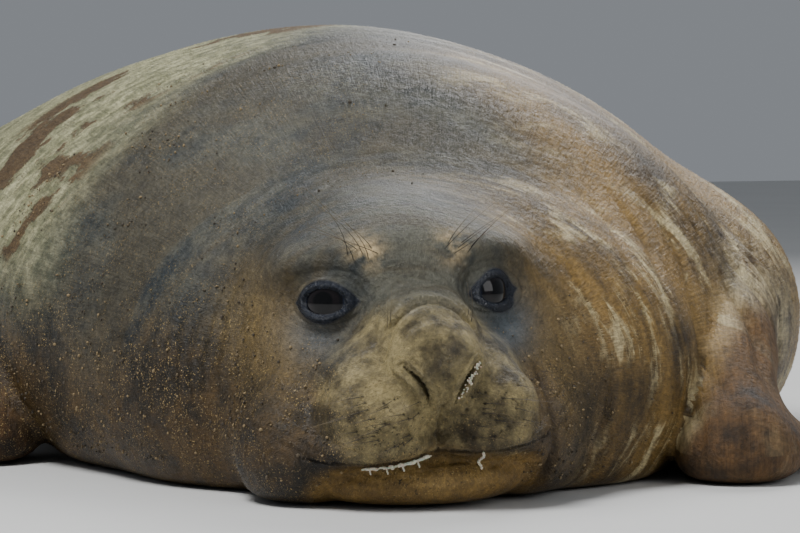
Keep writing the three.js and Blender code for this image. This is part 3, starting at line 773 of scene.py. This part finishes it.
# each layer lies over those before it: how much of it shows, and its colour
colour = between(window(g, mottle, 0.38, 0.62), (36, 43, 46), (88, 87, 75))
for amount, above in (
        (times(g, window(g, bands, 0.46, 0.62), 0.6), srgb(70, 62, 44)),
        (mark("olive", 0.92), between(window(g, rings, 0.38, 0.62), (27, 24, 13), (80, 69, 40))),
        # painted sheen: pale cream over the top of the back, a painted reflection of the sky
        (given["pale"], between(window(g, small, 0.35, 0.7), (120, 120, 88), (184, 180, 142))),
        (mud, between(small, (62, 48, 30), (104, 84, 56))),
        (mark("brown", 0.92), between(flank, (46, 35, 18), (144, 114, 60))),
        (times(g, streaks, 0.85), srgb(204, 188, 144)),
        (mark("low", 0.88), between(window(g, mottle, 0.40, 0.62), (32, 24, 12), (92, 68, 32))),
        (mark("temple", 0.7), between(small, (84, 66, 30), (164, 136, 78))),
        (mark("muzzle", 0.9), between(pad, (62, 52, 30), (166, 150, 104))),
        (mark("chin", 0.8), between(small, (66, 48, 20), (172, 136, 70))),
        (times(g, given["brow"], window(g, small, 0.35, 0.6)), srgb(196, 172, 128)),
        (mark("tear", 0.7), between(small, (44, 56, 66), (104, 120, 132))),
        (mark("flipper", 0.9), between(window(g, mottle, 0.40, 0.60), (34, 24, 14), (90, 64, 36))),
        (mark("blotch", 0.7), srgb(48, 42, 34)),
        (times(g, glints, 0.9), srgb(208, 196, 160)),
        (dark_grain, srgb(34, 27, 18)),
        (light_grain, srgb(186, 160, 106)),
        (given["eye_ring"], between(small, (8, 11, 18), (28, 37, 52))),
        # painted shade: the jowl crease darkened
        (mark("painted_crease_shade", 0.7), srgb(52, 40, 26)),
        (mark("pore", 0.85), srgb(30, 24, 18)),
        # painted shade: near black in the mouth line and nostrils, fainter along the lips
        (given["dark"], srgb(14, 9, 8))):
    colour = over(g, amount, colour, above)
grain = plus(g, times(g, window(g, fine, 0.3, 0.7), 0.36), 0.50)
shade = plus(g, times(g, window(g, fibres, 0.32, 0.68), 0.42), grain)
g.links.new(over(g, 1.0, colour, grey(g, shade), "MULTIPLY"), result["Color"])

rough = plus(g, 0.36, times(g, small, 0.24))
for more in (times(g, mud, 0.25), mark("eye_ring", -0.22), mark("dark", -0.20), mark("flipper", 0.25)):
    rough = plus(g, rough, more)
g.links.new(rough, result["Roughness"])

wander = add(g, "TexNoise", Vector=place, Scale=60.0).outputs["Color"]
wander = add(g, "VectorMath", {"operation": "SCALE"}, i0=wander, Scale=0.02).outputs[0]
warped = add(g, "VectorMath", {"operation": "ADD"}, i0=place, i1=wander).outputs[0]
wrinkle = add(g, "TexVoronoi", {"feature": "DISTANCE_TO_EDGE"}, Vector=warped, Scale=130.0)
wrinkle = window(g, wrinkle.outputs["Distance"], 0.0, 0.22)
height = plus(g, times(g, fibres, 0.5), times(g, fine, 0.25))
for more in (times(g, wrinkle, plus(g, mark("muzzle", 0.12), 0.06)), times(g, rings, 0.6),
             times(g, noise(g, place, 150, 5, 0.65), 1.3), times(g, mud, 1.2), times(g, light_grain, 0.8)):
    height = plus(g, height, more)
g.links.new(height, result["Height"])


def hide_material(name, bump, tone=None):
    """Hide or hair with the coat's markings, painted sheen and painted shade, read from the piece's own
    points.
    """
    material, t, shader = new_material(name)
    group = t.nodes.new("ShaderNodeGroup")
    group.node_tree = coat_marks_and_painted_light
    wire(t, group, Place=place_of(t), Lie=add(t, "UVMap", {"uv_map": "OFBake"}).outputs[0])
    for marking in MARKS:
        t.links.new(carried(t, marking), group.inputs[marking])
    colour = group.outputs["Color"]
    if tone:
        colour = over(t, 1.0, colour, grey(t, carried(t, tone)), "MULTIPLY")
    bumped = add(t, "Bump", Strength=bump, Distance=0.0030, Height=group.outputs["Height"])
    wire(t, shader, Base_Color=colour, Roughness=group.outputs["Roughness"], Specular_IOR_Level=0.38,
         Normal=bumped.outputs[0])
    return material


skin = show("skin", skin_mesh, hide_material("hide", 0.85))
FLESH = ["head", "neck", "chest", "abdomen", "hindquarters", "tail",
         "foreflipper_left", "foreflipper_right", "hindflipper_left", "hindflipper_right"]
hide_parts(*FLESH)

# Short hair: stiff, flat-lying hairs rooted in the hide, grouped in tufts of
# three. They point back from the nose and are shortest on the face and feet.
skin_mesh.calc_loop_triangles()
corner_points = np.empty(len(skin_mesh.loop_triangles) * 3, np.int32)
skin_mesh.loop_triangles.foreach_get("vertices", corner_points)
corner_points = corner_points.reshape(-1, 3)
tri = points[corner_points]
areas = np.linalg.norm(np.cross(tri[:, 1] - tri[:, 0], tri[:, 2] - tri[:, 0]), axis=1) / 2
tri_middle = plain[corner_points].mean(1)


def flow(p):
    """The way the hair lies, before it is laid on the skin."""
    s, n = along(p)
    bend = np.where(s > STRAIGHT, (s - STRAIGHT) / BEND, 0) + HEADING
    back = np.stack([-np.sin(bend), np.cos(bend), np.full(len(p), -0.12)], 1)
    away = p - from_head((0, 9, -6))
    share = step(np.linalg.norm(away, axis=1), 0.18, 0.42)[:, None]
    way = unit(away) * (1 - share) + back * share
    for limb in FORE:
        own = foreflipper(p, limb) < trunk(p) - 0.004
        way[own] = (math.sin(limb["turn"]), math.cos(limb["turn"]), -0.1)
    return way


ROOT_DEPTH = 0.0004
PATCH = np.array([(-0.0010, -0.0010), (0.0010, -0.0010), (0.0, 0.0015)])


def hair(name, chosen, count, length, width, lift, seed):
    """Tufts of three blades over the chosen triangles, evenly by area."""
    rng = np.random.default_rng(seed)
    weight = areas * chosen
    pick = rng.choice(len(weight), count, p=weight / weight.sum())
    a, b = rng.random(count), rng.random(count)
    flip = a + b > 1
    a[flip], b[flip] = 1 - a[flip], 1 - b[flip]
    share = np.stack([1 - a - b, a, b], 1)[..., None]
    ids = corner_points[pick]
    root, rest = (points[ids] * share).sum(1), (plain[ids] * share).sum(1)
    up = (outward[ids] * share).sum(1)
    q = to_head(rest)
    shut = (mouth_line(q)[0] + nostrils(q) > 0.25) | (rest[:, 2] < 0.010)
    for left in (-1, 1):
        out, local = eye_zone(q, left)
        shut |= (out < 1.35) & (local[:, 2] > 0) & (np.linalg.norm(local, axis=1) < 5)
    keep = ~shut
    root, rest, up = root[keep], rest[keep], up[keep]
    up = unit(up)
    way = flow(rest)
    way = unit(way - up * (way * up).sum(1)[:, None])
    beside = np.cross(up, way)
    size = length * rng.uniform(0.7, 1.25, len(root))
    uv_root = unwrap(rest, region(rest, up[:, 2]))
    places, patches, tones = [], [], []
    for blade in range(3):
        turn = rng.normal(0, 0.35, len(root)) + (blade - 1) * 0.28
        forward = way * np.cos(turn)[:, None] + beside * np.sin(turn)[:, None]
        across = np.cross(up, forward)
        slide = (rng.uniform(-0.5, 0.5, len(root)) * width)[:, None]
        base = root + across * ((blade - 1) * 0.9 * width) + forward * slide - up * ROOT_DEPTH
        rise = lift * rng.uniform(0.6, 1.6, len(root))
        tip = base + (forward * np.cos(rise)[:, None] + up * np.sin(rise)[:, None]) * size[:, None]
        places.append(np.stack([base - across * width / 2, base + across * width / 2, tip], 1))
        patches.append(uv_root[:, None] + PATCH[None])
        tones.append(np.repeat(rng.uniform(0.72, 1.32, len(root)), 3))
    co = np.concatenate(places).reshape(-1, 3)
    co[:, 2] = np.maximum(co[:, 2], 0.0008)
    mesh = new_mesh(name, in_row(co), np.arange(len(co)).reshape(-1, 3))
    lay_out(mesh, np.concatenate(patches))
    paint(mesh, np.tile(np.repeat(rest, 3, axis=0), (3, 1)))
    carry(mesh, "tone", np.concatenate(tones))
    piece = show(name, mesh, hair_material, smooth=False)


hair_material = hide_material("hair", 0.0, tone="tone")
middle_s = along(tri_middle)[0]
middle_q = to_head(tri_middle)
is_face = (np.abs(middle_q[:, 0]) < 13) & (middle_q[:, 1] > -6) & (middle_q[:, 2] < 9)
is_limb = limbs(tri_middle) < 0.002
is_front = (middle_s < 0.55) & ~is_face & ~is_limb
is_back = (middle_s >= 0.55) & (middle_s < 1.3) & ~is_limb
is_rear = (middle_s >= 1.3) & ~is_limb
draft = 1.0
# name, where, tufts, then the blades' length, width and lift, and the seed
for name, chosen, tufts, *blade in (
        ("hair_face", is_face, 64000, 0.0026, 0.00045, 0.20, 21),
        ("hair_neck", is_front, 66000, 0.0060, 0.0008, 0.16, 22),
        ("hair_back", is_back, 60000, 0.0085, 0.0012, 0.14, 23),
        ("hair_rear", is_rear, 40000, 0.0080, 0.0012, 0.14, 24),
        ("hair_flippers", is_limb, 30000, 0.0030, 0.0007, 0.16, 25)):
    hair(name, chosen, int(tufts * draft), *blade)


# Eyes: dark wet balls under the lids, with a brown iris round a wide pupil.
eye_material, t, shader = new_material("eye")
from_pupil, where = carried(t, "from_pupil"), place_of(t)
rays = noise(t, where, 420, 4, 0.7, 0.6)
iris = over(t, rays, srgb(5, 6, 10), srgb(26, 20, 20))
white = over(t, noise(t, where, 120, 4), srgb(10, 15, 30), srgb(38, 46, 66))
colour = over(t, window(t, from_pupil, 0.30, 0.36), srgb(3, 3, 4), iris)
colour = over(t, window(t, from_pupil, 0.50, 0.56), colour, srgb(8, 8, 11))
colour = over(t, window(t, from_pupil, 0.60, 0.70), colour, white)
wire(t, shader, Base_Color=colour, Roughness=0.06, IOR=1.38)
for left, name in ((1, "eye_left"), (-1, "eye_right")):
    c, e = eye_frame(left)
    rows, columns = 40, 64
    a = np.linspace(0, math.pi, rows + 1)[:, None]
    b = np.linspace(0, 2 * math.pi, columns, endpoint=False)[None]
    radius = EYE_RADIUS * (1 - 0.002) + 0.03 * hump(a / 0.5)
    ball = np.stack([np.sin(a) * np.cos(b), np.sin(a) * np.sin(b), np.cos(a) + 0 * b], -1)
    ball = (radius[..., None] * ball).reshape(-1, 3)
    index = np.arange(len(ball)).reshape(rows + 1, columns)
    after = np.roll(index, -1, 1)
    faces = np.stack([index[1:-2], index[2:-1], after[2:-1], after[1:-2]], -1).reshape(-1, 4)
    caps = np.stack([np.full(columns, 0), index[1], after[1]], -1)
    caps = np.concatenate([caps, np.stack([np.full(columns, index[-1, 0]), after[-2], index[-2]], -1)])
    tris = np.concatenate([caps, faces[:, :3], faces[:, [0, 2, 3]]])
    if left > 0:
        tris = tris[:, ::-1]
    mesh = new_mesh(name + "_ball", in_row(from_head(c + ball @ e)), tris)
    carry(mesh, "from_pupil", np.repeat(np.linspace(0, math.pi, rows + 1), columns))
    piece = show(name + "_ball", mesh, eye_material)
    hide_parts(name)

# Claws: five dark horn nails on each foreflipper, grown out of the digits'
# upper sides near their tips.
claw_material, t, shader = new_material("claw")
grain = noise(t, add(t, "Mapping", Vector=place_of(t), Scale=(260, 260, 900)).outputs[0], 1.0, 4)
bumped = add(t, "Bump", Strength=0.4, Distance=0.0004, Height=grain)
wire(t, shader, Base_Color=over(t, grain, srgb(24, 20, 17), srgb(78, 66, 54)),
     Roughness=plus(t, 0.30, times(t, grain, 0.3)), Normal=bumped.outputs[0])
claw_ball, claw_faces = round_stone(bmesh.ops.create_uvsphere, u_segments=20, v_segments=14)
# half lengths, the height of the claws' middles and how far the tips bend down
CLAW_WIDE, CLAW_THICK, CLAW_LONG, CLAW_LEVEL, CLAW_CURVE = 0.0050, 0.0040, 0.0168, 0.0265, 0.0022
for limb, side_name in zip(FORE, ("left", "right")):
    co = []
    for i in range(5):
        tip, root = (digit_tip(hand_base(limb), limb["turn"], limb["digits"], FORE_SPREAD, i, part)
                     for part in (1.1, 0.96))
        way = unit((tip - root) * (1, 1, 0) + (0, 0, -0.004))
        across = unit(np.cross(way, (0, 0, 1)))
        toward_tip = np.clip(claw_ball[:, 2:], 0, 1) ** 2
        taper = 1 - 0.45 * toward_tip
        rise = claw_ball[:, 1:2] * taper * CLAW_THICK - CLAW_CURVE * toward_tip
        co.append((tip[0], tip[1], CLAW_LEVEL) + across * (claw_ball[:, :1] * taper * CLAW_WIDE)
                  + way * claw_ball[:, 2:] * CLAW_LONG + np.cross(across, way) * rise)
    tris = np.concatenate([claw_faces + i * len(claw_ball) for i in range(5)])
    mesh = new_mesh("claws_" + side_name, in_row(np.concatenate(co)), tris)
    piece = show("claws_" + side_name, mesh, claw_material)
    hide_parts(*[f"claw_{side_name}_{i + 1}" for i in range(5)])


# Whiskers: stiff tapering bristles rooted in the pads, over the eyes and
# beside the nose, dark at the root and paler at the tip.
def on_face(u, w):
    """Point on the front of the face at that place across and up, in head measures."""
    v = 16.0
    for _ in range(90):
        d = face(np.array([[u, v, w]]))[0]
        if d < 0.004:
            break
        v -= max(d * 0.6, 0.004)
    return np.array([u, v, w])


def bristle(root, way, droop, length, radius, sides=5, joints=8):
    path = [np.array(root, float)]
    way = unit(way)
    for j in range(joints):
        way = unit(way + np.array(droop) / joints)
        path.append(path[-1] + way * length / joints)
    path = np.array(path)
    rings = []
    for j, at in enumerate(path):
        ahead = unit(path[min(j + 1, joints)] - path[max(j - 1, 0)])
        x = unit(np.cross(ahead, (0.3, 0.2, 0.93)))
        y = np.cross(ahead, x)
        r = radius * (1 - 0.82 * j / joints)
        angle = np.arange(sides) * 2 * math.pi / sides
        rings.append(at + r * (np.cos(angle)[:, None] * x + np.sin(angle)[:, None] * y))
    return np.array(rings)


rng = np.random.default_rng(31)
strands = []
for left in (-1, 1):
    for k in range(7):
        root = on_face(left * (3.0 + 0.42 * k), 4.0 + 0.5 * math.sin(2.1 * k))
        way = (left * rng.uniform(0.1, 1.2), 0.9, rng.uniform(0.5, 1.3))
        length = rng.uniform(4.5, 8.0)
        strands.append(bristle(root - (0, 0.15, 0), way, (left * 0.9, -0.9, 0.2), length, 0.036))
    for k in range(2):
        root = on_face(left * (3.4 + 0.3 * k), -1.6 - 0.5 * k)
        way, droop = (left * 0.1, 0.8, 0.9), (-left * 0.2, -0.8, 0.6)
        strands.append(bristle(root - (0, 0.15, 0), way, droop, 3.2, 0.028))
    for u, w in PORES:
        if u * left > 0 and rng.random() < 0.75:
            root = on_face(u, w)
            outer = abs(u) / 7
            way = (left * (0.35 + 1.1 * outer), 0.8 - 0.5 * outer, rng.uniform(-0.5, 0.1))
            length = rng.uniform(1.2, 2.4) + 3.2 * outer * rng.random()
            strands.append(bristle(root - (0, 0.2, 0), way, (left * 0.5, -0.9, -0.3), length, 0.030))
    for k in range(16):
        w = -8.5 - 0.55 * k
        root = on_face(left * (10.9 - 0.03 * (w + 11) ** 2), w)
        strands.append(bristle(root, (left * 0.5, 0.7, -0.4), (0, -0.6, -0.6), rng.uniform(0.6, 1.4), 0.018))
rings = np.array(strands)
count, joints, sides = rings.shape[:3]
index = np.arange(joints * sides).reshape(joints, sides)
after = np.roll(index, -1, 1)
tube = np.stack([index[:-1], after[:-1], after[1:], index[1:]], -1).reshape(-1, 4)
tube = np.concatenate([tube[:, :3], tube[:, [0, 2, 3]]])
tube = np.concatenate([tube, [[index[-1, 0], index[-1, k], index[-1, k + 1]] for k in range(1, sides - 1)]])
tris = (tube[None] + np.arange(count)[:, None, None] * joints * sides).reshape(-1, 3)
co = in_row(from_head(rings.reshape(-1, 3)))
co[:, 2] = np.maximum(co[:, 2], 0.001)
mesh = new_mesh("whiskers", co, tris)
carry(mesh, "reach", np.tile(np.repeat(np.linspace(0, 1, joints), sides), count))
whisker_material, t, shader = new_material("whisker")
mottle = noise(t, place_of(t), 700, 3)
toward_tip = window(t, plus(t, carried(t, "reach"), times(t, mottle, 0.4)), 0.3, 1.0)
wire(t, shader, Base_Color=over(t, toward_tip, srgb(20, 16, 12), srgb(104, 88, 60)),
     Roughness=plus(t, 0.3, times(t, mottle, 0.25)))
piece = show("whiskers", mesh, whisker_material)

# Grit: small stones and sand grains stuck in the coat of the neck and flank,
# pressed a little into the hair.
rng = np.random.default_rng(41)
stone, stone_faces = round_stone(bmesh.ops.create_icosphere, subdivisions=1)
found = marks(tri_middle)
clustered = step(ripple(tri_middle, 0.14, 42) + 0.8 * ripple(tri_middle, 0.035, 43), 0.1, 1.3)
weight = areas * (found["grit"] * clustered + 0.9 * found["low"] * step(-middle_s, -0.9, -0.4))
weight *= (found["eye_ring"] < 0.1) & (found["muzzle"] < 0.3) & (tri_middle[:, 2] > 0.02) & ~is_limb
pick = rng.choice(len(weight), 3400, p=weight / weight.sum())
ids = corner_points[pick]
share = rng.dirichlet((1, 1, 1), len(pick))[..., None]
at, up = (points[ids] * share).sum(1), (outward[ids] * share).sum(1)
size = 0.00035 + 0.0013 * rng.random(len(pick)) ** 4
stretch = rng.uniform(0.6, 1.3, (len(pick), 1, 3))
lift = (size * 0.25 + 0.0006)[:, None, None]
co = at[:, None] + up[:, None] * lift + stone[None] * stretch * size[:, None, None]
tris = (stone_faces[None] + np.arange(len(pick))[:, None, None] * len(stone)).reshape(-1, 3)
mesh = new_mesh("grit", in_row(co.reshape(-1, 3)), tris)
carry(mesh, "tone", np.repeat(rng.random(len(pick)), len(stone)))
grit_material, t, shader = new_material("grit")
mottle = noise(t, place_of(t), 900, 4)
colour = over(t, window(t, carried(t, "tone"), 0.25, 0.75), srgb(46, 36, 24), srgb(150, 128, 88))
wire(t, shader, Base_Color=over(t, times(t, mottle, 0.6), colour, srgb(96, 90, 80)), Roughness=0.8)
piece = show("grit", mesh, grit_material, smooth=False)

# Spittle: a wet pale string and drops hanging from the lower edge of the
# upper lip, and a dry crust at one nostril. They cling to the skin.
rng = np.random.default_rng(51)
drop, drop_faces = round_stone(bmesh.ops.create_icosphere, subdivisions=2)
blobs = []
for k in range(34):
    u = -6.4 + 5.6 * k / 33
    w = mouth_height(math.atan2(u, 9.0)) - 0.28 - 0.16 * rng.random()
    blobs.append((on_face(u, w), rng.uniform(0.14, 0.34), rng.uniform(0.06, 0.20)))
    if k % 8 == 3:
        blobs += [(on_face(u + 0.05 * j, w - 0.16 * j), 0.09, 0.14) for j in range(1, 4)]
for k in range(9):
    u = 3.7 + 0.12 * math.sin(k)
    blobs.append((on_face(u, mouth_height(math.atan2(u, 9.0)) - 0.1 - 0.17 * k), 0.13, 0.16))
for k in range(60):
    down = rng.random()
    at = on_face(3.35 - 2.1 * down + 0.16 * rng.normal(), -5.3 - 3.0 * down)
    blobs.append((at, 0.08, rng.uniform(0.05, 0.12)))
co = np.concatenate([c + (0, 0.02, 0) + drop * (a, 0.6 * b, b) for c, a, b in blobs])
tris = np.concatenate([drop_faces + i * len(drop) for i in range(len(blobs))])
spittle_material, t, shader = new_material("spittle")
mottle = noise(t, place_of(t), 500, 4)
wire(t, shader, Base_Color=over(t, mottle, srgb(168, 158, 132), srgb(226, 222, 206)),
     Roughness=plus(t, 0.12, times(t, mottle, 0.25)), Subsurface_Weight=0.3, Subsurface_Scale=0.002)
piece = show("spittle", new_mesh("spittle", in_row(from_head(co)), tris), spittle_material)

# Studio: plain pale floor, soft light from above and the front, and the
# camera at the photograph's place, low and level with the seal's face.
FLOOR_HALF = 9.0
corners = np.array([(-1, -1, 0), (1, -1, 0), (1, 1, 0), (-1, 1, 0)]) * FLOOR_HALF
floor_mesh = new_mesh("floor", corners, [(0, 1, 2, 3)])
floor = bpy.data.objects.new("floor", floor_mesh)
bpy.context.collection.objects.link(floor)
floor_material, t, shader = new_material("floor")
mottle = noise(t, place_of(t), 2.0, 3)
wire(t, shader, Base_Color=over(t, mottle, srgb(196, 196, 194), srgb(206, 206, 204)), Roughness=0.8)
floor_mesh.materials.append(floor_material)
world = bpy.data.worlds.new("studio")
world.use_nodes = True
world.node_tree.nodes["Background"].inputs["Color"].default_value = srgb(206, 212, 220)
world.node_tree.nodes["Background"].inputs["Strength"].default_value = 0.36
bpy.context.scene.world = world
look_at = Vector(in_row((0, 0.35, 0.2)))
for name, place, power, size in (("key", (-1.1, -1.0, 2.9), 122, 1.2), ("fill", (2.6, -1.8, 1.6), 30, 2.0),
                                 ("rim", (0.9, 3.0, 2.6), 90, 2.0)):
    lamp = bpy.data.lights.new(name, "AREA")
    lamp.energy, lamp.size = power, size
    light = bpy.data.objects.new(name, lamp)
    bpy.context.collection.objects.link(light)
    light.location = in_row(place)
    light.rotation_euler = (look_at - light.location).to_track_quat("-Z", "Y").to_euler()

CAMERA_AWAY, CAMERA_RISE, LENS_MM = 3.3, math.radians(3), 170.8
FOCAL = 3795.0
pitch, yaw = CAMERA_RISE - math.atan(29.5 / FOCAL), math.atan(8 / FOCAL)
level = np.array([0, math.cos(pitch), -math.sin(pitch)])
ahead = math.cos(yaw) * level - math.sin(yaw) * np.array([1, 0, 0])
right = math.cos(yaw) * np.array([1, 0, 0]) + math.sin(yaw) * level
turned = TO_ROW @ np.stack([right, np.cross(right, ahead), -ahead], 1)
lens = bpy.data.cameras.new("camera")
lens.lens, lens.sensor_width = LENS_MM, 36
camera = bpy.data.objects.new("camera", lens)
bpy.context.collection.objects.link(camera)
stand = in_row((0, -CAMERA_AWAY, EYE_LEVEL + CAMERA_AWAY * math.tan(CAMERA_RISE)))
camera.matrix_world = Matrix.Translation(Vector(stand)) @ Matrix(turned.tolist()).to_4x4()
bpy.context.scene.camera = camera
